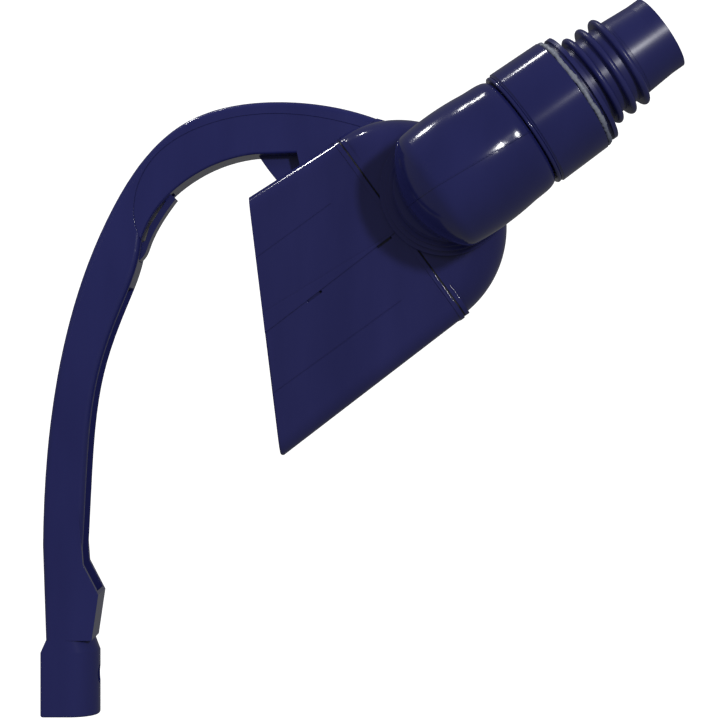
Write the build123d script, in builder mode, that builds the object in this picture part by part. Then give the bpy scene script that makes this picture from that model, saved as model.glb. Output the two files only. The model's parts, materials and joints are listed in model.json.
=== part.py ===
"""Manual vacuum head for pools and spas, in millimetres, +Z up.

The origin is the centre of the pole socket's mouth; the pole leaves along -Z. The arch of the
handle lies in the XZ plane, and the hose port faces -Y.
"""

from build123d import *
from math import asin, cos, radians, sin, tan
import os

OVERLAP = 0.5                 # stretches of one solid run this far into each other
SAME = 0.01                   # places nearer than this are the same place

# ---- pole socket and handle ----
POLE_BORE_R = 12.9            # for a 25.4 mm (1 in) pole
SOCKET_HALF = 15.1            # half of the socket's outside width
SOCKET_DEPTH = 33.0
SHOULDER_Z = (34.5, 41.0)     # the socket steps down to the grip between these heights
SOCKET_ROUND_R = 14.5
SOCKET_BACK_R = 1.5
SOCKET_SHIFT = -0.7
SOCKET_RIM_R = 1.2
GRIP_FOOT = (12.4, -0.5)      # half size and shift of the section above the socket's shoulder
DRAIN_R = 8.0
DRAIN_DEPTH = 56.0
SNAP_HOLE_R = 5.2
SNAP_HOLE_START = 8.9         # inside the bore
SNAP_HOLE_Z = 21.5
HANDLE_HALF = 15.2            # half width of the handle across Y
HANDLE_WALL = 2.6
HANDLE_BACK_R = 3.5
GRIP_EDGE_R = 3.0
CHANNEL_HALF = 11.2
ARM_HALF = 14.8
ARM_EDGE_R = 1.5

# ---- mouth ----
RIM_CENTRE = (175.9, 259.0)   # X, Z of the middle of the mouth's rear rim
MOUTH_ANGLE = 36.0            # the mouth's axis above the horizontal
MOUTH_HALF_HEIGHT = 56.6
MOUTH_HALF_DEPTH = 45.0
MOUTH_TOP_FLARE = 3.35        # degrees
MOUTH_BOTTOM_FLARE = 1.5
MOUTH_SLANT = 29.0            # how far the mouth's cut leans from square
MOUTH_REACH = 87.6            # rim to mouth along the axis
MOUTH_STOCK = 160.0           # length of the block before the slant cut
MOUTH_CORNER_R = 9.0
MOUTH_CORNER_LEAST_R = 1.0
MOUTH_WALL = 2.6
MOUTH_TIP_R = 1.4
LIP_HEIGHT = 0.5
LIP_LENGTH = 2.4
CREASE = (0.2, 0.5)           # depth and width
CREASE_PLACES = (31.5, -30.5)
CREASE_START = 22.0
CREASE_RUN = 110.0
SEAM_TILT = -1.7              # degrees, the seam against the mouth's axis
LAP_TILT = -4.6               # upper edge of the lap strip
LAP_HEIGHT = 0.45
LAP_LENGTH = 96.0
SLOT = (9.0, 1.2)
SLOT_PLACES = (-57.0, -11.4)
TONGUE = (8.0, 14.0, 1.8)     # snap tongue behind each slot: along the seam, across it, thick
TONGUE_GAP = 0.1
TONGUE_ROOT = (5.0, 4.0, 1.0)     # where it joins its shell: place, height, thickness

# ---- rear dome and port ----
DOME_R = 57.0
DOME_RISE = 1.5
DOME_EDGE_R = 20.0
DOME_WALL = 2.8
GASKET_T = 0.8
GASKET_INSET = 0.4
FLANGE_T = 2.5
SPIGOT_LENGTH = 7.0
SPIGOT_GAP = 0.15
PORT = (198.9, 278.5)         # X, Z of the port's axis, which runs along Y
PORT_BORE_R = 24.0
PORT_TUBE_R = 27.0
PORT_FACE_Y = -46.0
PORT_TUBE_END_Y = -54.0
PORT_STEP_Y = -40.0           # where the retainer bears
TURRET_R = 33.0
TURRET_TAPER = 9.0
SPIGOT_WALL = 2.4
RING_POCKET_R = 27.1
RING_POCKET_DEPTH = 6.0
FUNNEL_TAPER = 12.0
RIM_HOLE = (1.6, 0.8, 7.0, 2.9, 3.0)
RIM_SCREW = (1.5, 0.8, 7.0, 2.8, 1.6)     # shank radius, start, end, head radius, head thickness
RIM_SCREW_PLACES = (-24.0, 24.0)
RIM_SCREW_BACK = 4.6
COLLAR_STEPS = ((34.2, -48.8), (31.9, -51.4), (29.6, -53.8))

# ---- elbow, along the hose axis from where it crosses the port's axis ----
HOSE_Y = -88.0
HOSE_ANGLE = 35.4
ELBOW_R = 32.1
ELBOW_WALL = 2.8
ELBOW_BULGE = 1.2
WITNESS = (0.25, 0.5)         # height and width of the elbow's parting ridge
WITNESS_ANGLE = 30.5
ELBOW_HEEL = -23.9
HEEL_R = 42.0
HEEL_CORNER_R = 9.0
SHOULDER = (29.0, 43.7)
SHOULDER_R = 28.9
OUTLET_R = 24.6
OUTLET_END = 66.0
DUCT_R = 20.5
NECK_R = 23.7
NECK_END_Y = -36.5
NECK_ROOT = 8.0               # the neck starts this far past the hose axis, inside the elbow
OUTLET_ROOT = 2.0
NECK_TOP_R = 27.6
RUNNING_GAP = 0.3
SEAL_MINOR_R = 1.2
GROOVE_SLACK = 0.15
NECK_SEAL_Y = -48.0
NECK_SEAL_R = 22.75
NECK_GROOVE_R = 22.2
CUFF_SEAL_R = 23.65
CUFF_GROOVE_R = 23.1
CUFF_SEAL_AT = 54.0
RING_T = 2.0
NECK_RING_R = 26.2
CUFF_RING_R = 27.2
RING_SLIT = (16.0, 6.0)       # the snap rings' openings: along the radius, and wide
GROOVE_OUT_R = 30.0           # past the outside of every groove

# ---- cuff and hose adapter ----
CUFF = (46.1, 74.3)
CUFF_R = (31.8, 31.1)
CUFF_SHELF_AT = 61.9
CUFF_STEP = (0.6, 0.7)        # the small step beside the bead: along, and deep
BEAD_ROUND_R = 0.85
SEALANT_ROUND_R = 1.2
ADAPTER_SEAT_R = 27.8
BEAD_RING = (44.2, 46.1)
SEALANT = (74.4, 79.0)
SEALANT_R = 31.2
FLANGE = (79.1, 81.3)
FLANGE_R = 29.7
ADAPTER_START = 66.5
BEAD_RING_R = 31.3
ADAPTER_R = 20.9
ADAPTER_BORE_R = 17.4
RIB_PLACES = (87.2, 95.1, 103.1)
RIB_R = 24.2
RIB_T = 3.4
RIB_ROOT = 1.0                # how far each rib reaches into the tube
SPIGOT_START = 106.9
SPIGOT_END = 128.6
SPIGOT_R = (21.0, 19.9)       # base of the taper, and the straight tip
SPIGOT_TIP = 7.0

ARM_SCREW_PLACES = (-16.0, 6.5)
ARM_SCREW_RISE = 1.0
ARM_SCREW = (1.5, -3.05, 5.5, 3.0, 1.8)
ARM_HOLE = (1.7, -3.05, 5.5, 3.2, 6.0)
GUSSET_HALF = 2.4

# ---- latch ----
PIVOT = (34.0, 247.0)         # X, Z
PIN_R = 1.5
PIN_GAP = 0.05
LATCH_HALF = 7.0
LATCH_LUG_R = 3.8
LATCH_GAP = 0.4
PIN_HALF = 12.0
LEAF = (0.5, 9.0, 13.0)
LEAF_BACK = 5.6
LEAF_SLOT = 3.0

mouth_plane = Plane(
    origin=(RIM_CENTRE[0], 0, RIM_CENTRE[1]),
    x_dir=(cos(radians(MOUTH_ANGLE)), 0, sin(radians(MOUTH_ANGLE))),
    z_dir=(0, -1, 0),
)
hose_dir = (cos(radians(HOSE_ANGLE)), 0, sin(radians(HOSE_ANGLE)))
hose_origin = (PORT[0], HOSE_Y, PORT[1])
witness_dir = (cos(radians(WITNESS_ANGLE)), 0, sin(radians(WITNESS_ANGLE)))
hose_plane = Plane(origin=hose_origin, x_dir=hose_dir, z_dir=(0, -1, 0))
hose_axis = Axis(hose_origin, hose_dir)
port_plane = Plane(origin=(PORT[0], 0, PORT[1]), x_dir=(1, 0, 0), z_dir=(0, 0, 1))
port_axis = Axis((PORT[0], 0, PORT[1]), (0, 1, 0))


def turned(plane, axis, outline, corner=0.0):
    """A solid of revolution: outline is a closed list of points in the plane."""
    with BuildPart() as piece:
        with BuildSketch(plane) as profile:
            with BuildLine():
                Polyline(*outline, close=True)
            make_face()
            if corner:
                fillet(profile.vertices(), corner)
        revolve(axis=axis)
    return piece.part


def tube(plane, axis, start, end, outer, inner):
    """A plain ring between two stations of the plane's local x (hose) axis."""
    outline = [(start, inner), (end, inner), (end, outer), (start, outer)]
    return turned(plane, axis, outline)


def port_ring(low_y, high_y, outer, inner):
    """A plain ring about the port's axis between two heights in Y."""
    outline = [(inner, low_y), (outer, low_y), (outer, high_y), (inner, high_y)]
    return turned(port_plane, port_axis, outline)


def mouth_block(inset, back=0.0, front=MOUTH_STOCK):
    """The mouth's tapered block, inset evenly, from local x = -front to back."""
    top = MOUTH_HALF_HEIGHT - inset
    half_depth = MOUTH_HALF_DEPTH - inset
    top_end = top + front * tan(radians(MOUTH_TOP_FLARE))
    bottom_end = top + front * tan(radians(MOUTH_BOTTOM_FLARE))
    with BuildPart() as block:
        with BuildSketch(mouth_plane):
            with BuildLine():
                Polyline((back, top), (-front, top_end), (-front, -bottom_end), (back, -top), close=True)
            make_face()
        extrude(amount=half_depth, both=True)
        long_edges = [
            edge
            for edge in block.edges()
            if abs(mouth_plane.to_local_coords(edge.center()).Y) > 0.8 * top
            and abs(abs(edge.center().Y) - half_depth) < SAME
        ]
        fillet(long_edges, max(MOUTH_CORNER_R - inset, MOUTH_CORNER_LEAST_R))
    return block.part


def dome_block(inset, start):
    """The rounded rear block, inset evenly, from local x = start to its back."""
    radius = DOME_R - inset
    half_depth = MOUTH_HALF_DEPTH - inset
    with BuildPart() as block:
        with BuildSketch(mouth_plane):
            with Locations((0, DOME_RISE)):
                Circle(radius)
        extrude(amount=half_depth, both=True)
        fillet(block.edges().filter_by(GeomType.CIRCLE), DOME_EDGE_R - inset)
        cut = Plane(
            origin=mouth_plane.from_local_coords((start, 0, 0)),
            z_dir=mouth_plane.x_dir,
        )
        split(bisect_by=cut, keep=Keep.TOP)
    return block.part


def in_mouth(x, y, depth=0.0):
    """World point of a place given in the mouth's own directions."""
    return mouth_plane.from_local_coords((x, y, depth))


def screws(planes, sizes):
    """Pan-head screws, or their clearance: shank radius, start, end, head radius, head thickness."""
    shank_r, start, end, head_r, head_t = sizes
    with BuildPart() as group:
        for plane in planes:
            with Locations(plane.offset((start + end) / 2)):
                Cylinder(shank_r, end - start)
            with Locations(plane.offset(start - head_t / 2)):
                Cylinder(head_r, head_t)
    return group.part


def write(piece, name):
    """Label a finished piece and write it."""
    piece.part.label = name
    export_step(piece.part, f"parts/{name}.step")


os.makedirs("parts", exist_ok=True)
arm_screw_planes = [
    Plane(origin=in_mouth(x, MOUTH_HALF_HEIGHT + ARM_SCREW_RISE), z_dir=mouth_plane.y_dir)
    for x in ARM_SCREW_PLACES
]
rim_screw_planes = [
    Plane(origin=in_mouth(-RIM_SCREW_BACK, y, -MOUTH_HALF_DEPTH), z_dir=(0, -1, 0)) for y in RIM_SCREW_PLACES
]

# ================= mouth shells =================
slant_plane = Plane(
    origin=in_mouth(-MOUTH_REACH, 0),
    z_dir=mouth_plane.from_local_coords(
        (cos(radians(MOUTH_SLANT)), -sin(radians(MOUTH_SLANT)), 0)
    )
    - mouth_plane.origin,
)
seam_plane = Plane(
    origin=in_mouth(0, 0),
    z_dir=mouth_plane.from_local_coords((-sin(radians(SEAM_TILT)), -cos(radians(SEAM_TILT)), 0))
    - mouth_plane.origin,
)

with BuildPart() as mouth_shell:
    add(mouth_block(0))
    add(mouth_block(-LIP_HEIGHT, 0.0, LIP_LENGTH))
    add(mouth_block(MOUTH_WALL, 1.0), mode=Mode.SUBTRACT)
    split(bisect_by=slant_plane, keep=Keep.TOP)
    # a shallow crease line above and below the seam on both sides
    for side in (-1, 1):
        with BuildSketch(mouth_plane.offset(side * (MOUTH_HALF_DEPTH - CREASE[0]))):
            for height in CREASE_PLACES:
                with Locations((-CREASE_START - CREASE_RUN / 2, height)):
                    Rectangle(CREASE_RUN, CREASE[1])
        extrude(amount=side * 2 * CREASE[0], mode=Mode.SUBTRACT)
whole_shell = mouth_shell.part

seam_slots = [
    Plane(origin=in_mouth(x, x * tan(radians(-SEAM_TILT))), x_dir=mouth_plane.x_dir, z_dir=(0, -1, 0))
    for x in SLOT_PLACES
]

with BuildPart() as mouth_upper_shell:
    add(whole_shell)
    # the lap strip stands proud along the seam, widest at the mouth
    with BuildSketch(mouth_plane):
        with BuildLine():
            Polyline((0, 0), (-LAP_LENGTH, LAP_LENGTH * tan(radians(SEAM_TILT))),
                     (-LAP_LENGTH, -LAP_LENGTH * tan(radians(LAP_TILT))), close=True)
        make_face()
    extrude(amount=MOUTH_HALF_DEPTH + LAP_HEIGHT, both=True)
    add(mouth_block(MOUTH_WALL, 1.0), mode=Mode.SUBTRACT)
    split(bisect_by=slant_plane, keep=Keep.TOP)
    split(bisect_by=seam_plane, keep=Keep.BOTTOM)
    # snap tongues hang inside the lower shell's wall, at each slot, on both sides
    for side in (-1, 1):
        for place in SLOT_PLACES:
            with BuildSketch(mouth_plane.offset(side * (MOUTH_HALF_DEPTH - MOUTH_WALL - TONGUE_GAP))):
                with Locations((place, 0)):
                    Rectangle(TONGUE[0], TONGUE[1])
            extrude(amount=-side * TONGUE[2])
            with BuildSketch(mouth_plane.offset(side * (MOUTH_HALF_DEPTH - MOUTH_WALL))):
                with Locations((place, TONGUE_ROOT[0])):
                    Rectangle(TONGUE[0], TONGUE_ROOT[1])
            extrude(amount=-side * TONGUE_ROOT[2])
    add(screws(arm_screw_planes, ARM_HOLE), mode=Mode.SUBTRACT)
    add(screws(rim_screw_planes, RIM_HOLE), mode=Mode.SUBTRACT)
write(mouth_upper_shell, "mouth_upper_shell")

with BuildPart() as mouth_lower_shell:
    add(whole_shell)
    split(bisect_by=seam_plane, keep=Keep.TOP)
    for slot in seam_slots:
        with BuildSketch(slot):
            with Locations((0, -SLOT[1] / 2)):
                Rectangle(*SLOT)
        extrude(amount=MOUTH_HALF_DEPTH + 2, both=True, mode=Mode.SUBTRACT)
    add(screws(rim_screw_planes, RIM_HOLE), mode=Mode.SUBTRACT)
    tip_edge = mouth_lower_shell.edges().filter_by(Axis.Y).sort_by(Axis.Z)[0]
    fillet(tip_edge, MOUTH_TIP_R)
write(mouth_lower_shell, "mouth_lower_shell")

# ================= rear dome =================
flange_end = GASKET_T + FLANGE_T
spigot_inset = MOUTH_WALL + SPIGOT_GAP

with BuildPart() as turret:
    with BuildSketch(Plane.XZ.offset(-PORT_FACE_Y)):
        with Locations(PORT):
            Circle(TURRET_R)
    extrude(amount=PORT_FACE_Y, taper=TURRET_TAPER)
    flange_cut = Plane(origin=in_mouth(GASKET_T, 0), z_dir=mouth_plane.x_dir)
    split(bisect_by=flange_cut, keep=Keep.TOP)

with BuildPart() as rear_dome:
    add(dome_block(0, flange_end - OVERLAP))
    add(turret.part)
    add(mouth_block(0, flange_end, -GASKET_T))
    add(mouth_block(spigot_inset, flange_end, SPIGOT_LENGTH))
    with BuildSketch(Plane.XZ.offset(-PORT_TUBE_END_Y)):
        with Locations(PORT):
            Circle(PORT_TUBE_R)
    extrude(amount=PORT_TUBE_END_Y - PORT_FACE_Y)
    # hollow: the spigot, the dome, and the way up to the port
    add(dome_block(DOME_WALL, 0.0), mode=Mode.SUBTRACT)
    add(mouth_block(spigot_inset + SPIGOT_WALL, FLANGE_T, SPIGOT_LENGTH + 1), mode=Mode.SUBTRACT)
    with BuildSketch(Plane.XZ.offset(-PORT_TUBE_END_Y)):
        with Locations(PORT):
            Circle(PORT_BORE_R)
    extrude(amount=PORT_TUBE_END_Y - PORT_STEP_Y, mode=Mode.SUBTRACT)
    with BuildSketch(Plane.XZ.offset(-PORT_STEP_Y)):
        with Locations(PORT):
            Circle(RING_POCKET_R)
    extrude(amount=-RING_POCKET_DEPTH, mode=Mode.SUBTRACT)
    with BuildSketch(Plane.XZ.offset(-PORT_STEP_Y - RING_POCKET_DEPTH)):
        with Locations(PORT):
            Circle(RING_POCKET_R)
    extrude(amount=PORT_STEP_Y + RING_POCKET_DEPTH, taper=FUNNEL_TAPER, mode=Mode.SUBTRACT)
    add(screws(rim_screw_planes, RIM_SCREW), mode=Mode.SUBTRACT)
    add(screws(arm_screw_planes, ARM_HOLE), mode=Mode.SUBTRACT)
write(rear_dome, "rear_dome")

with BuildPart() as rim_gasket:
    add(mouth_block(GASKET_INSET, GASKET_T, 0.0))
    add(mouth_block(spigot_inset - SPIGOT_GAP, GASKET_T + 1, 1.0), mode=Mode.SUBTRACT)
write(rim_gasket, "rim_gasket")

with BuildPart() as port_collar:
    low = PORT_FACE_Y
    for radius, top in COLLAR_STEPS:
        add(port_ring(top, low, radius, PORT_TUBE_R))
        low = top
write(port_collar, "port_collar")

# ================= elbow =================
def bulb(inset):
    """The elbow's fat body: a tube on the hose axis with a domed, closed heel."""
    radius = ELBOW_R - inset
    heel_radius = HEEL_R - inset
    centre = ELBOW_HEEL + HEEL_R
    end = centre - (heel_radius**2 - radius**2) ** 0.5
    half_angle = asin(radius / heel_radius) / 2
    shoulder_end = SHOULDER[1] - inset
    barrel_slope = -4 * ELBOW_BULGE / (SHOULDER[0] - end)
    with BuildPart() as body:
        with BuildSketch(hose_plane) as profile:
            with BuildLine():
                ThreePointArc(
                    (ELBOW_HEEL + inset, 0),
                    (centre - heel_radius * cos(half_angle), heel_radius * sin(half_angle)),
                    (end, radius),
                )
                ThreePointArc(
                    (end, radius), ((end + SHOULDER[0]) / 2, radius + ELBOW_BULGE), (SHOULDER[0], radius)
                )
                Spline(
                    (SHOULDER[0], radius),
                    (shoulder_end, SHOULDER_R - inset),
                    tangents=((1, barrel_slope), (0.75, -1)),
                )
                Polyline((shoulder_end, SHOULDER_R - inset), (shoulder_end, 0), (ELBOW_HEEL + inset, 0))
            make_face()
            fillet(profile.vertices().sort_by_distance((end, radius, 0))[0], HEEL_CORNER_R - inset)
        revolve(axis=hose_axis)
    return body.part


with BuildPart() as elbow_ridge:
    add(bulb(-WITNESS[0]))
    with Locations(Plane(origin=hose_origin, x_dir=witness_dir, z_dir=(0, -1, 0))):
        Box(3 * SHOULDER[1], WITNESS[1], 3 * ELBOW_R, mode=Mode.INTERSECT)

with BuildPart() as elbow:
    add(bulb(0))
    add(elbow_ridge.part)
    add(tube(hose_plane, hose_axis, SHOULDER[1] - OUTLET_ROOT, OUTLET_END, OUTLET_R, DUCT_R - 1))
    add(port_ring(HOSE_Y + NECK_ROOT, PORT_TUBE_END_Y - RUNNING_GAP, NECK_TOP_R, DUCT_R - 1))
    add(port_ring(PORT_TUBE_END_Y - OVERLAP, NECK_END_Y, NECK_R, DUCT_R - 1))
    add(bulb(ELBOW_WALL), mode=Mode.SUBTRACT)
    add(tube(hose_plane, hose_axis, 0, OUTLET_END + 1, DUCT_R, 0), mode=Mode.SUBTRACT)
    add(port_ring(HOSE_Y, NECK_END_Y + 1, DUCT_R, 0), mode=Mode.SUBTRACT)
    # grooves for the O-rings and the snap rings
    seal_half = SEAL_MINOR_R + GROOVE_SLACK
    neck_ring_low = PORT_STEP_Y + RUNNING_GAP
    add(port_ring(NECK_SEAL_Y - seal_half, NECK_SEAL_Y + seal_half, GROOVE_OUT_R, NECK_SEAL_R - SEAL_MINOR_R),
        mode=Mode.SUBTRACT)
    add(port_ring(neck_ring_low, neck_ring_low + RING_T, GROOVE_OUT_R, NECK_GROOVE_R), mode=Mode.SUBTRACT)
    add(tube(hose_plane, hose_axis, CUFF_SEAL_AT - seal_half, CUFF_SEAL_AT + seal_half, GROOVE_OUT_R,
             CUFF_SEAL_R - SEAL_MINOR_R), mode=Mode.SUBTRACT)
    cuff_ring_start = CUFF_SHELF_AT + RUNNING_GAP
    add(tube(hose_plane, hose_axis, cuff_ring_start, cuff_ring_start + RING_T, GROOVE_OUT_R, CUFF_GROOVE_R),
        mode=Mode.SUBTRACT)
write(elbow, "elbow")

with BuildPart() as elbow_seal:
    with BuildSketch(port_plane):
        with Locations((NECK_SEAL_R, NECK_SEAL_Y)):
            Circle(SEAL_MINOR_R)
    revolve(axis=port_axis)
write(elbow_seal, "elbow_seal")

with BuildPart() as cuff_seal:
    with BuildSketch(hose_plane):
        with Locations((CUFF_SEAL_AT, CUFF_SEAL_R)):
            Circle(SEAL_MINOR_R)
    revolve(axis=hose_axis)
write(cuff_seal, "cuff_seal")

with BuildPart() as elbow_retainer:
    add(port_ring(neck_ring_low, neck_ring_low + RING_T, NECK_RING_R, NECK_GROOVE_R))
    with Locations((PORT[0] + NECK_RING_R, neck_ring_low + RING_T / 2, PORT[1])):
        Box(RING_SLIT[0], 3 * RING_T, RING_SLIT[1], mode=Mode.SUBTRACT)
write(elbow_retainer, "elbow_retainer")

with BuildPart() as cuff_retainer:
    add(tube(hose_plane, hose_axis, cuff_ring_start, cuff_ring_start + RING_T, CUFF_RING_R, CUFF_GROOVE_R))
    with Locations(Plane(origin=hose_plane.from_local_coords((cuff_ring_start, CUFF_RING_R, 0)),
                         x_dir=hose_dir, z_dir=(0, -1, 0))):
        Box(3 * RING_T, RING_SLIT[0], RING_SLIT[1], mode=Mode.SUBTRACT)
write(cuff_retainer, "cuff_retainer")

# ================= cuff and hose adapter =================
with BuildPart() as hose_cuff:
    cuff_outline = [
        (CUFF[0], OUTLET_R + RUNNING_GAP),
        (CUFF_SHELF_AT, OUTLET_R + RUNNING_GAP),
        (CUFF_SHELF_AT, ADAPTER_SEAT_R),
        (CUFF[1], ADAPTER_SEAT_R),
        (CUFF[1], CUFF_R[1]),
        (CUFF[0] + 2 * CUFF_STEP[0], CUFF_R[0]),
        (CUFF[0] + CUFF_STEP[0], CUFF_R[0] - CUFF_STEP[1]),
        (CUFF[0], CUFF_R[0] - CUFF_STEP[1]),
    ]
    add(turned(hose_plane, hose_axis, cuff_outline))
write(hose_cuff, "hose_cuff")

with BuildPart() as cuff_lock_ring:
    with BuildSketch(hose_plane) as bead_profile:
        with BuildLine():
            Polyline(
                (BEAD_RING[0], OUTLET_R + RUNNING_GAP),
                (BEAD_RING[1], OUTLET_R + RUNNING_GAP),
                (BEAD_RING[1], BEAD_RING_R),
                (BEAD_RING[0], BEAD_RING_R),
                close=True,
            )
        make_face()
        fillet(bead_profile.vertices().group_by(Axis.Y)[-1], BEAD_ROUND_R)
    revolve(axis=hose_axis)
write(cuff_lock_ring, "cuff_lock_ring")

with BuildPart() as hose_adapter:
    adapter_outline = [
        (ADAPTER_START, ADAPTER_BORE_R),
        (SPIGOT_END, ADAPTER_BORE_R),
        (SPIGOT_END, SPIGOT_R[1]),
        (SPIGOT_END - SPIGOT_TIP, SPIGOT_R[1]),
        (SPIGOT_START, SPIGOT_R[0]),
        (SPIGOT_START, ADAPTER_R),
        (FLANGE[1], ADAPTER_R),
        (FLANGE[1], FLANGE_R),
        (FLANGE[0], FLANGE_R),
        (FLANGE[0], ADAPTER_SEAT_R),
        (ADAPTER_START, ADAPTER_SEAT_R),
    ]
    add(turned(hose_plane, hose_axis, adapter_outline))
    for place in RIB_PLACES:
        with BuildSketch(hose_plane):
            with Locations((place, (RIB_R + ADAPTER_R - RIB_ROOT) / 2)):
                SlotOverall(RIB_R - ADAPTER_R + RIB_ROOT + RIB_T / 2, RIB_T, rotation=90)
        revolve(axis=hose_axis)
    add(tube(hose_plane, hose_axis, ADAPTER_START - 1, SPIGOT_END + 1, ADAPTER_BORE_R, 0), mode=Mode.SUBTRACT)
write(hose_adapter, "hose_adapter")

with BuildPart() as sealant_bead:
    with BuildSketch(hose_plane) as sealant_profile:
        with BuildLine():
            Polyline(
                (SEALANT[0], ADAPTER_SEAT_R),
                (SEALANT[1], ADAPTER_SEAT_R),
                (SEALANT[1], SEALANT_R),
                (SEALANT[0], SEALANT_R),
                close=True,
            )
        make_face()
        fillet(sealant_profile.vertices().group_by(Axis.Y)[-1], SEALANT_ROUND_R)
    revolve(axis=hose_axis)
write(sealant_bead, "sealant_bead")

# ================= handle and arm outlines, X and Z =================
OUTER_EDGE = [(-14.7, 92.0), (-12.1, 144.0), (-2.3, 204.0), (20.8, 268.2), (59.9, 316.4),
              (111.9, 328.4), (163.7, 319.3)]
SPLIT_LINE = [(163.7, 319.3), (157.3, 314.1)]
SPLIT_TOP = [(157.3, 314.1), (111.9, 321.9), (66.0, 313.3), (43.9, 297.6), (34.3, 275.3), (38.0, 254.5)]
ARM_INNER = [(38.0, 254.5), (45.6, 270.3), (62.2, 286.4), (80.2, 295.9), (98.9, 300.3)]
ARM_FOOT = [(98.9, 300.3), (121.0, 301.0), (124.5, 286.0), (146.0, 296.0), (180.0, 308.0),
            (181.0, 314.5), (163.7, 319.3)]
GRIP_INNER = [(38.0, 254.5), (34.3, 237.0), (27.6, 220.0), (15.4, 185.0), (9.0, 138.0), (6.4, 89.5)]
LIP = [(6.4, 89.5), (7.0, 81.5), (15.3, 65.5), (11.7, 41.0), (-13.0, 41.0), (-14.7, 92.0)]

CHANNEL_FLOOR = [(-11.2, 92.0), (-8.9, 144.0), (0.9, 203.0), (9.6, 226.0)]
CHANNEL_OPEN = [(31.5, 229.5), (45.0, 226.0), (45.0, 95.0), (12.9, 66.0), (11.0, 54.0), (-10.0, 54.0)]
ARM_CORE_FLOOR = [(42.5, 272.0), (50.0, 282.0), (63.0, 293.0), (81.0, 301.0), (99.0, 305.5), (135.0, 307.0)]
ARM_CORE_SKY = [(135.0, 335.0), (30.0, 335.0)]
ARM_CORES = ((36.0, 68.0), (70.0, 98.0), (100.0, 120.0))
GUSSET_CURVE = [(99.5, 301.5), (105.0, 293.5), (113.0, 284.0)]
GUSSET_BACK = [(128.0, 284.0), (128.0, 302.5)]
LATCH = [(36.6, 244.2), (39.6, 248.2), (41.3, 252.7), (45.0, 260.8), (49.9, 268.9), (55.8, 277.0)]
LATCH_BACK = [(53.4, 279.4), (50.5, 279.6), (50.4, 275.8), (46.7, 270.3), (41.7, 262.2), (39.4, 254.6),
              (33.0, 250.4)]
TOOTH_NOTCH = [(55.0, 280.2), (50.0, 281.0), (49.6, 274.5), (52.0, 276.0)]
NECK_NOTCH = [(33.0, 250.9), (38.3, 255.5), (44.0, 254.0), (42.0, 243.0), (36.6, 243.2)]


def slab(points, half):
    """A flat piece with straight edges, lying in the XZ plane."""
    with BuildPart() as piece:
        with BuildSketch(Plane.XZ):
            with BuildLine():
                Polyline(*points, close=True)
            make_face()
        extrude(amount=half, both=True)
    return piece.part


def side_edges(piece, half, outline):
    """The two edges, one on each flat side, that start and end where the outline does."""
    ends = {outline[0], outline[-1]}
    found = []
    for edge in piece.edges():
        places = {(round(point.X, 3), round(point.Z, 3)) for point in (edge @ 0, edge @ 1)}
        if places == ends and abs(abs(edge.center().Y) - half) < SAME:
            found.append(edge)
    return found


def socket_section(half, shift, half_depth):
    """Square at the back and round at the front, seen along the pole."""
    with BuildSketch() as section:
        with Locations((shift, 0)):
            Rectangle(2 * half, 2 * half_depth)
        fillet(section.vertices().group_by(Axis.X)[-1], SOCKET_ROUND_R)
        fillet(section.vertices().group_by(Axis.X)[0], SOCKET_BACK_R)
    return section.sketch


pivot_plane = Plane(origin=(PIVOT[0], 0, PIVOT[1]), z_dir=(0, 1, 0))

with BuildPart() as handle_arm:
    with BuildSketch(Plane.XZ):
        with BuildLine():
            Polyline(*SPLIT_LINE)
            Spline(*SPLIT_TOP)
            Spline(*ARM_INNER)
            Polyline(*ARM_FOOT)
        make_face()
    extrude(amount=ARM_HALF, both=True)
    fillet(side_edges(handle_arm, ARM_HALF, ARM_INNER), ARM_EDGE_R)
    # cored out from above, under the handle's tongue, with cross ribs left standing
    for start, end in ARM_CORES:
        with BuildSketch(Plane.XZ):
            with BuildLine():
                Spline(*ARM_CORE_FLOOR)
                Polyline(ARM_CORE_FLOOR[-1], *ARM_CORE_SKY, ARM_CORE_FLOOR[0])
            make_face()
            with Locations(((start + end) / 2, ARM_CORE_SKY[0][1])):
                Rectangle(end - start, 2 * (ARM_CORE_SKY[0][1] - ARM_CORE_FLOOR[0][1]), mode=Mode.INTERSECT)
        extrude(amount=ARM_HALF - HANDLE_WALL, both=True, mode=Mode.SUBTRACT)
    # gusset web between the arm and the mouth's top
    with BuildSketch(Plane.XZ):
        with BuildLine():
            Spline(*GUSSET_CURVE)
            Polyline(GUSSET_CURVE[-1], *GUSSET_BACK, GUSSET_CURVE[0])
        make_face()
    extrude(amount=GUSSET_HALF, both=True)
    add(mouth_block(0, 0.0), mode=Mode.SUBTRACT)
    add(mouth_block(-LIP_HEIGHT, 0.0, LIP_LENGTH), mode=Mode.SUBTRACT)
    add(mouth_block(0, flange_end, 0.0), mode=Mode.SUBTRACT)
    add(dome_block(0, flange_end - OVERLAP), mode=Mode.SUBTRACT)
    add(screws(arm_screw_planes, ARM_SCREW), mode=Mode.SUBTRACT)
    add(slab(TOOTH_NOTCH, LATCH_HALF + LATCH_GAP), mode=Mode.SUBTRACT)
write(handle_arm, "handle_arm")

with BuildPart() as arm_screws:
    add(screws(arm_screw_planes, ARM_SCREW))
write(arm_screws, "arm_screws")

with BuildPart() as rim_screws:
    add(screws(rim_screw_planes, RIM_SCREW))
write(rim_screws, "rim_screws")

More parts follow.
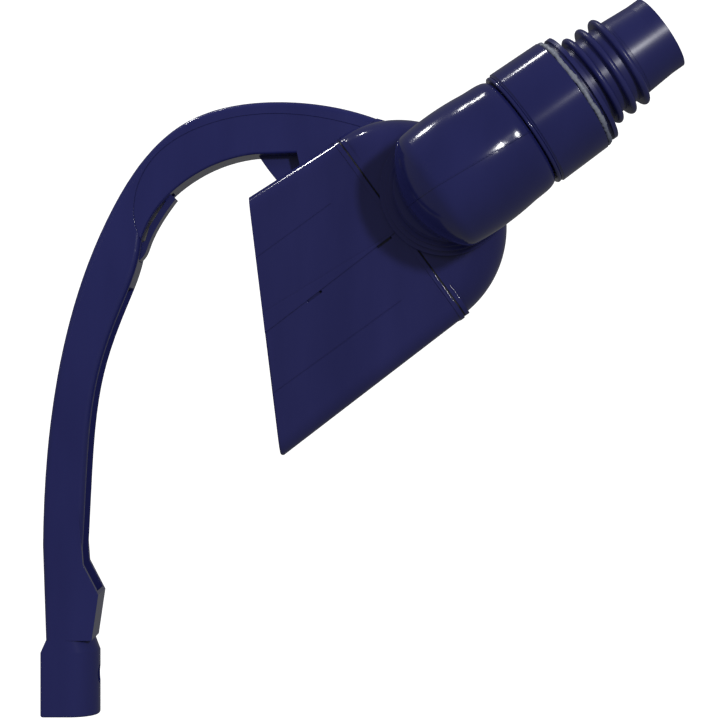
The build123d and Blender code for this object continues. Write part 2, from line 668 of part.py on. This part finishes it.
with BuildPart() as handle:
    with BuildSketch(Plane.XZ):
        with BuildLine():
            Spline(*OUTER_EDGE)
            Polyline(*SPLIT_LINE)
            Spline(*SPLIT_TOP)
            Spline(*GRIP_INNER)
            Polyline(*LIP)
        make_face()
    extrude(amount=HANDLE_HALF, both=True)
    fillet(side_edges(handle, HANDLE_HALF, OUTER_EDGE), HANDLE_BACK_R)
    fillet(side_edges(handle, HANDLE_HALF, GRIP_INNER), GRIP_EDGE_R)
    # the grip's channel opens on the inner side, down to the slanted lip
    with BuildSketch(Plane.XZ):
        with BuildLine():
            Spline(*CHANNEL_FLOOR)
            Polyline(CHANNEL_FLOOR[-1], *CHANNEL_OPEN, CHANNEL_FLOOR[0])
        make_face()
    extrude(amount=CHANNEL_HALF, both=True, mode=Mode.SUBTRACT)
    # pole socket: square at the back, round at the front, stepping down to the grip
    with BuildSketch(Plane.XY):
        add(socket_section(SOCKET_HALF, SOCKET_SHIFT, SOCKET_HALF))
    extrude(amount=SHOULDER_Z[0])
    rim_edges = handle.edges().filter_by_position(Axis.Z, -SAME, SAME)
    fillet(rim_edges, SOCKET_RIM_R)
    with BuildSketch(Plane.XY.offset(SHOULDER_Z[0])):
        add(socket_section(SOCKET_HALF, SOCKET_SHIFT, SOCKET_HALF))
    with BuildSketch(Plane.XY.offset(SHOULDER_Z[1])):
        add(socket_section(GRIP_FOOT[0], GRIP_FOOT[1], HANDLE_HALF))
    loft()
    with BuildSketch(Plane.XY):
        Circle(POLE_BORE_R)
    extrude(amount=SOCKET_DEPTH, mode=Mode.SUBTRACT)
    with BuildSketch(Plane.XY):
        Circle(DRAIN_R)
    extrude(amount=DRAIN_DEPTH, mode=Mode.SUBTRACT)
    with BuildSketch(Plane.YZ.offset(SNAP_HOLE_START)):
        with Locations((0, SNAP_HOLE_Z)):
            Circle(SNAP_HOLE_R)
    extrude(amount=SOCKET_HALF - SNAP_HOLE_START, mode=Mode.SUBTRACT)
    # room for the latch, its pin and its leaf
    with Locations(pivot_plane):
        Cylinder(LATCH_LUG_R + LATCH_GAP, 2 * (LATCH_HALF + LATCH_GAP), mode=Mode.SUBTRACT)
        Cylinder(PIN_R, 2 * PIN_HALF, mode=Mode.SUBTRACT)
    add(slab(NECK_NOTCH, LATCH_HALF + LATCH_GAP), mode=Mode.SUBTRACT)
    with Locations((PIVOT[0] - LEAF_BACK, 0, PIVOT[1])):
        Box(LEAF_SLOT, LEAF[1], LEAF[2], mode=Mode.SUBTRACT)
write(handle, "handle")

with BuildPart() as handle_latch:
    with BuildSketch(Plane.XZ):
        with BuildLine():
            Spline(*LATCH)
            Polyline(LATCH[-1], *LATCH_BACK, LATCH[0])
        make_face()
        with Locations(PIVOT):
            Circle(LATCH_LUG_R)
    extrude(amount=LATCH_HALF, both=True)
    with Locations(pivot_plane):
        Cylinder(PIN_R + PIN_GAP, 4 * LATCH_HALF, mode=Mode.SUBTRACT)
write(handle_latch, "handle_latch")

with BuildPart() as latch_pin:
    with Locations(pivot_plane):
        Cylinder(PIN_R, 2 * PIN_HALF)
write(latch_pin, "latch_pin")

with BuildPart() as latch_spring:
    with Locations((PIVOT[0] - LEAF_BACK, 0, PIVOT[1])):
        Box(*LEAF)
write(latch_spring, "latch_spring")
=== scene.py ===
"""Looks for the manual vacuum head: materials, moulded detail, studio and camera."""

import json
import math

import bmesh
import bpy
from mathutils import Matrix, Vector
from mathutils.noise import fractal


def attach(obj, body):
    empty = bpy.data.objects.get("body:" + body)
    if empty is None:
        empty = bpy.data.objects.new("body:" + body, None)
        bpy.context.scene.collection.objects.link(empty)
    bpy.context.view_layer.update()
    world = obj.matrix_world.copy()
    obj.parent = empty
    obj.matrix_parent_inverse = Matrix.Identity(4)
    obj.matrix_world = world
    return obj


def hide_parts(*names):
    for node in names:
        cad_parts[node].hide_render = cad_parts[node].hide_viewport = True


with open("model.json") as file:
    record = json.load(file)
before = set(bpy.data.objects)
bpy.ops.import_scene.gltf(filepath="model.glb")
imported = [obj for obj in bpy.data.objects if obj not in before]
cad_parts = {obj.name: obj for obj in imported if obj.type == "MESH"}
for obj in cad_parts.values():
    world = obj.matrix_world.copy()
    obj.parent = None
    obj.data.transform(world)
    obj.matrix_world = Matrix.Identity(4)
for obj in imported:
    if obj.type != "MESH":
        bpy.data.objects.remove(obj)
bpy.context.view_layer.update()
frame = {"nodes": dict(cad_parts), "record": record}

# ---------------------------------------------------------------- materials

FLOW_SCALE, FLOW_STRETCH = 38.0, (1.0, 1.0, 0.22)
POLISH_SCALE = 60.0
SCRATCH_SCALE, SCRATCH_STRETCH, SCRATCH_TURN = 900.0, (1.0, 1.0, 0.03), 0.5
SCRATCH_SHARE = (0.66, 0.82)      # the noise values between which a scratch fades in
SCRATCH_ROUGH = 0.04
PEEL_SCALE, PEEL_DEPTH = 70.0, 0.0006
GRAIN_STRENGTH, GRAIN_DEPTH = 0.1, 0.00004
PLASTIC_IOR = 1.5

def new_material(name):
    """A material with a Principled shader; returns it with its tree and shader."""
    material = bpy.data.materials.new(name)
    material.use_nodes = True
    tree = material.node_tree
    return material, tree, tree.nodes["Principled BSDF"]


def noise(tree, vector, scale, detail=3.0):
    node = tree.nodes.new("ShaderNodeTexNoise")
    node.inputs["Scale"].default_value = scale
    node.inputs["Detail"].default_value = detail
    tree.links.new(vector, node.inputs["Vector"])
    return node.outputs["Fac"]


def stretched(tree, vector, scale, angle):
    """The same place stretched along a direction in the XZ plane, for flow marks and scratches."""
    node = tree.nodes.new("ShaderNodeMapping")
    node.inputs["Scale"].default_value = scale
    node.inputs["Rotation"].default_value = (0.0, angle, 0.0)
    tree.links.new(vector, node.inputs["Vector"])
    return node.outputs["Vector"]


def ramp(tree, factor, stops):
    """A colour ramp with (position, colour) stops."""
    node = tree.nodes.new("ShaderNodeValToRGB")
    elements = node.color_ramp.elements
    for index, (position, colour) in enumerate(stops):
        element = elements[index] if index < 2 else elements.new(position)
        element.position = position
        element.color = (*colour, 1.0)
    tree.links.new(factor, node.inputs["Fac"])
    return node.outputs["Color"]


def spread(tree, factor, low, high, start=0.0, end=1.0):
    """Maps start to end onto low to high."""
    node = tree.nodes.new("ShaderNodeMapRange")
    node.inputs["From Min"].default_value = start
    node.inputs["From Max"].default_value = end
    node.inputs["To Min"].default_value = low
    node.inputs["To Max"].default_value = high
    tree.links.new(factor, node.inputs["Value"])
    return node.outputs["Result"]


def bump(tree, height, strength, distance, normal):
    node = tree.nodes.new("ShaderNodeBump")
    node.inputs["Strength"].default_value = strength
    node.inputs["Distance"].default_value = distance
    tree.links.new(height, node.inputs["Height"])
    tree.links.new(normal, node.inputs["Normal"])
    return node.outputs["Normal"]


def moulded_plastic(name, dark, light, rough, peel, grain_scale, edge=0.0005, flow_angle=0.0):
    """Injection-moulded plastic: pigment flow, uneven polish, fine scratches, orange peel and grain."""
    material, tree, shader = new_material(name)
    place = tree.nodes.new("ShaderNodeTexCoord").outputs["Object"]
    flow = noise(tree, stretched(tree, place, FLOW_STRETCH, flow_angle), FLOW_SCALE, 4.0)
    tree.links.new(ramp(tree, flow, [(0.32, dark), (0.68, light)]), shader.inputs["Base Color"])
    polish = noise(tree, place, POLISH_SCALE, 5.0)
    along = stretched(tree, place, SCRATCH_STRETCH, flow_angle + SCRATCH_TURN)
    scratch = noise(tree, along, SCRATCH_SCALE, 2.0)
    wear = tree.nodes.new("ShaderNodeMath")
    wear.operation = "ADD"
    tree.links.new(spread(tree, polish, rough[0], rough[1]), wear.inputs[0])
    tree.links.new(spread(tree, scratch, 0.0, SCRATCH_ROUGH, *SCRATCH_SHARE), wear.inputs[1])
    tree.links.new(wear.outputs[0], shader.inputs["Roughness"])
    rounded = tree.nodes.new("ShaderNodeBevel")
    rounded.samples = 4
    rounded.inputs["Radius"].default_value = edge
    rippled = bump(tree, noise(tree, place, PEEL_SCALE, 1.0), peel, PEEL_DEPTH, rounded.outputs["Normal"])
    grain = noise(tree, place, grain_scale, 2.0)
    grained = bump(tree, grain, GRAIN_STRENGTH, GRAIN_DEPTH, rippled)
    tree.links.new(grained, shader.inputs["Normal"])
    shader.inputs["IOR"].default_value = PLASTIC_IOR
    return material


MATERIALS = {
    "shell_plastic": moulded_plastic(
        "shell_plastic", (0.023, 0.025, 0.138), (0.030, 0.032, 0.164), (0.09, 0.13), 0.03, 2200.0),
    "elbow_plastic": moulded_plastic(
        "elbow_plastic", (0.021, 0.024, 0.134), (0.026, 0.029, 0.156), (0.11, 0.15), 0.02, 2200.0),
    "handle_plastic": moulded_plastic(
        "handle_plastic", (0.025, 0.028, 0.165), (0.032, 0.036, 0.195), (0.14, 0.20), 0.04, 2600.0),
    "adapter_plastic": moulded_plastic(
        "adapter_plastic", (0.020, 0.023, 0.135), (0.028, 0.031, 0.160), (0.28, 0.36), 0.08, 1800.0),
    "ring_plastic": moulded_plastic(
        "ring_plastic", (0.55, 0.55, 0.52), (0.62, 0.62, 0.6), (0.35, 0.45), 0.1, 2000.0),
    "seal_rubber": moulded_plastic(
        "seal_rubber", (0.012, 0.012, 0.012), (0.02, 0.02, 0.02), (0.5, 0.65), 0.2, 1500.0),
    "sealant": moulded_plastic(
        "sealant", (0.10, 0.12, 0.22), (0.42, 0.45, 0.52), (0.35, 0.5), 0.5, 260.0),
    "screw_steel": moulded_plastic(
        "screw_steel", (0.5, 0.5, 0.5), (0.6, 0.6, 0.6), (0.25, 0.4), 0.1, 2500.0),
}
MATERIALS["screw_steel"].node_tree.nodes["Principled BSDF"].inputs["Metallic"].default_value = 1.0

slots = {part["node"]: part["material_slot"] for part in frame["record"]["subparts"]}
for name, node in frame["nodes"].items():
    for slot in node.material_slots:
        slot.material = MATERIALS[slots[name]]

# ---------------------------------------------------------------- sealant

HOSE_ANGLE = math.radians(35.4)
HOSE_ORIGIN = Vector((0.1989, -0.088, 0.2785))
HOSE_ALONG = Vector((math.cos(HOSE_ANGLE), 0.0, math.sin(HOSE_ANGLE)))
HOSE_UP = Vector((-math.sin(HOSE_ANGLE), 0.0, math.cos(HOSE_ANGLE)))
HOSE_SIDE = Vector((0.0, -1.0, 0.0))


def hose_point(along, radius, angle):
    """A place about the hose's axis: angle 0 is up and away from the handle, a quarter turn faces -Y."""
    outward = math.cos(angle) * HOSE_UP + math.sin(angle) * HOSE_SIDE
    return HOSE_ORIGIN + along * HOSE_ALONG + radius * outward


def wobble(angle, turns, seed):
    """A smooth closed random curve about a ring, from -1 to 1."""
    return fractal(Vector((turns * math.cos(angle), turns * math.sin(angle), seed)), 0.6, 2.0, 3)


def sealant():
    """The hand-laid bead of sealant round the cuff's end: uneven in width, height and line."""
    around, across = 420, 14
    middle, half_width, inner, rise = 0.0758, 0.0014, 0.0280, 0.0027
    mesh = bpy.data.meshes.new("sealant_ring")
    shape = bmesh.new()
    rings = []
    for i in range(around):
        angle = 2 * math.pi * i / around
        centre = middle + 0.0005 * wobble(angle, 2.5, 1.0)
        width = half_width * (1.0 + 0.30 * wobble(angle, 9.0, 4.0))
        height = rise * (1.0 + 0.10 * wobble(angle, 12.0, 7.0))
        ring = []
        for j in range(across):
            turn = math.pi * j / (across - 1)
            fine = 0.00018 * wobble(angle, 26.0, 11.0 + 0.6 * j)
            along = centre + width * math.cos(turn) * (1.0 + 0.12 * wobble(angle, 17.0, 20.0 + j // 7))
            radius = inner + height * abs(math.sin(turn)) ** 0.5 + fine
            ring.append(shape.verts.new(hose_point(along, radius, angle)))
        rings.append(ring)
    for i in range(around):
        here, after = rings[i], rings[(i + 1) % around]
        for j in range(across):
            k = (j + 1) % across
            shape.faces.new((here[j], after[j], after[k], here[k]))
    bmesh.ops.recalc_face_normals(shape, faces=shape.faces)
    shape.to_mesh(mesh)
    shape.free()
    mesh.polygons.foreach_set("use_smooth", [True] * len(mesh.polygons))
    mesh.materials.append(MATERIALS["sealant"])
    piece = bpy.data.objects.new("sealant_ring", mesh)
    bpy.context.collection.objects.link(piece)
    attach(piece, "cuff_body")
    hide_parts("sealant_bead")


sealant()

# ---------------------------------------------------------------- studio


def backdrop():
    """A round white cove: a pale floor that curves up into a wall on every side."""
    floor_z, reach, bend, height, sides = -0.16, 2.6, 0.8, 3.2, 96
    profile = [(0.01, floor_z), (reach - bend, floor_z)]
    for step in range(1, 13):
        angle = step / 12 * math.pi / 2
        profile.append((reach - bend + bend * math.sin(angle), floor_z + bend - bend * math.cos(angle)))
    profile.append((reach, height))
    verts = [
        (0.15 + radius * math.cos(2 * math.pi * i / sides), radius * math.sin(2 * math.pi * i / sides), z)
        for radius, z in profile
        for i in range(sides)
    ]
    faces = [
        (row * sides + i, row * sides + (i + 1) % sides,
         (row + 1) * sides + (i + 1) % sides, (row + 1) * sides + i)
        for row in range(len(profile) - 1)
        for i in range(sides)
    ]
    faces.append(tuple(range(sides)))
    mesh = bpy.data.meshes.new("backdrop")
    mesh.from_pydata(verts, [], faces)
    mesh.polygons.foreach_set("use_smooth", [True] * len(faces))
    cove = bpy.data.objects.new("backdrop", mesh)
    bpy.context.collection.objects.link(cove)
    material, tree, shader = new_material("paper")
    shader.inputs["Base Color"].default_value = (0.9, 0.9, 0.9, 1)
    shader.inputs["Roughness"].default_value = 0.9
    shader.inputs["Emission Color"].default_value = (1, 1, 1, 1)
    shader.inputs["Emission Strength"].default_value = 1.0
    mesh.materials.append(material)
    cove.visible_glossy = False
    cove.visible_diffuse = False
    cove.visible_shadow = False


def area_light(name, place, target, size, power, mirrored=True):
    """A lamp aimed at a place; one that is not mirrored lights the plastic but leaves no highlight on it."""
    light = bpy.data.lights.new(name, "AREA")
    light.shape = "RECTANGLE"
    light.size, light.size_y = size
    light.energy = power
    lamp = bpy.data.objects.new(name, light)
    lamp.location = place
    lamp.rotation_euler = (Vector(target) - Vector(place)).to_track_quat("-Z", "Y").to_euler()
    lamp.visible_camera = False
    lamp.visible_glossy = mirrored
    bpy.context.collection.objects.link(lamp)


def camera():
    """A 100 mm lens, level, a little over a metre in front of the grip's plane."""
    data = bpy.data.cameras.new("camera")
    data.lens = 100.0
    data.sensor_width = 36.0
    data.clip_start = 0.05
    data.clip_end = 20.0
    eye = bpy.data.objects.new("camera", data)
    eye.location = (0.15465, -1.08, 0.1906)
    eye.rotation_euler = (math.radians(90), 0, 0)
    bpy.context.collection.objects.link(eye)
    bpy.context.scene.camera = eye


backdrop()
middle = (0.16, 0.0, 0.19)
area_light("key", (-0.425, 0.312, 1.245), middle, (0.07, 0.07), 1.5)
area_light("second", (-0.222, 0.217, 1.387), middle, (0.10, 0.03), 0.7)
area_light("flash", (0.598, -1.239, 0.518), middle, (0.08, 0.10), 5.0)
area_light("top", (0.2, 0.3, 1.5), middle, (1.0, 0.6), 2.3, mirrored=False)
area_light("fill", (-1.1, -1.3, 0.9), middle, (0.9, 0.9), 5.0, mirrored=False)
world = bpy.data.worlds.new("studio")
bpy.context.scene.world = world
world.use_nodes = True
world.node_tree.nodes["Background"].inputs["Color"].default_value = (1, 1, 1, 1)
world.node_tree.nodes["Background"].inputs["Strength"].default_value = 0.14
bpy.context.scene.view_settings.view_transform = "Standard"
camera()
